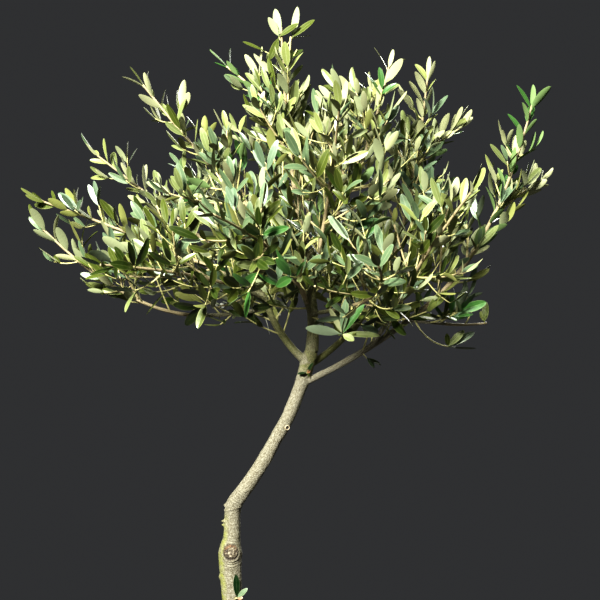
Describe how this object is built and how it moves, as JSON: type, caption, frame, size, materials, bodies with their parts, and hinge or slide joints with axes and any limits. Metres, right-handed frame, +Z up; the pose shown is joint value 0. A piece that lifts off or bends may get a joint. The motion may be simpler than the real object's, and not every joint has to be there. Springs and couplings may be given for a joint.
{
  "type": "potted olive tree",
  "caption": "Young standard olive tree with a bare, bent trunk and a wide, open crown of narrow leaves, in a plain round terracotta pot filled with soil.",
  "frame": {"origin": "centre of the pot's flat underside", "axes": "+Z up, -Y the side that the picture shows, +X to the right in the picture"},
  "size_m": [0.8665, 0.6859, 1.5474],
  "materials": {
    "pot": "matte",
    "soil": "matte",
    "bark": "matte",
    "foliage": "satin"
  },
  "bodies": {
    "root": {"pot": "pot", "soil": "soil", "trunk": "bark", "leader": "bark", "bough_left": "bark", "bough_right": "bark", "bough_right_rear": "bark", "bough_front": "bark", "bough_back": "bark", "branch_left_low": "bark", "branch_left_front": "bark", "branch_left_middle": "bark", "branch_left_high": "bark", "branch_top_left": "bark", "branch_top_right": "bark", "branch_right_high": "bark", "branch_right_low": "bark", "branch_right_front": "bark", "branch_front_right": "bark", "branch_front_high": "bark", "branch_back_right": "bark", "branch_back_high": "bark", "foliage_left_low": "foliage", "foliage_left_front": "foliage", "foliage_left_middle": "foliage", "foliage_left_high": "foliage", "foliage_top_left": "foliage", "foliage_top": "foliage", "foliage_top_right": "foliage", "foliage_right_high": "foliage", "foliage_right": "foliage", "foliage_right_low": "foliage", "foliage_right_rear": "foliage", "foliage_right_front": "foliage", "foliage_front_left": "foliage", "foliage_front_right": "foliage", "foliage_front_high": "foliage", "foliage_back_left": "foliage", "foliage_back_right": "foliage", "foliage_back_high": "foliage"}
  },
  "joints": []
}
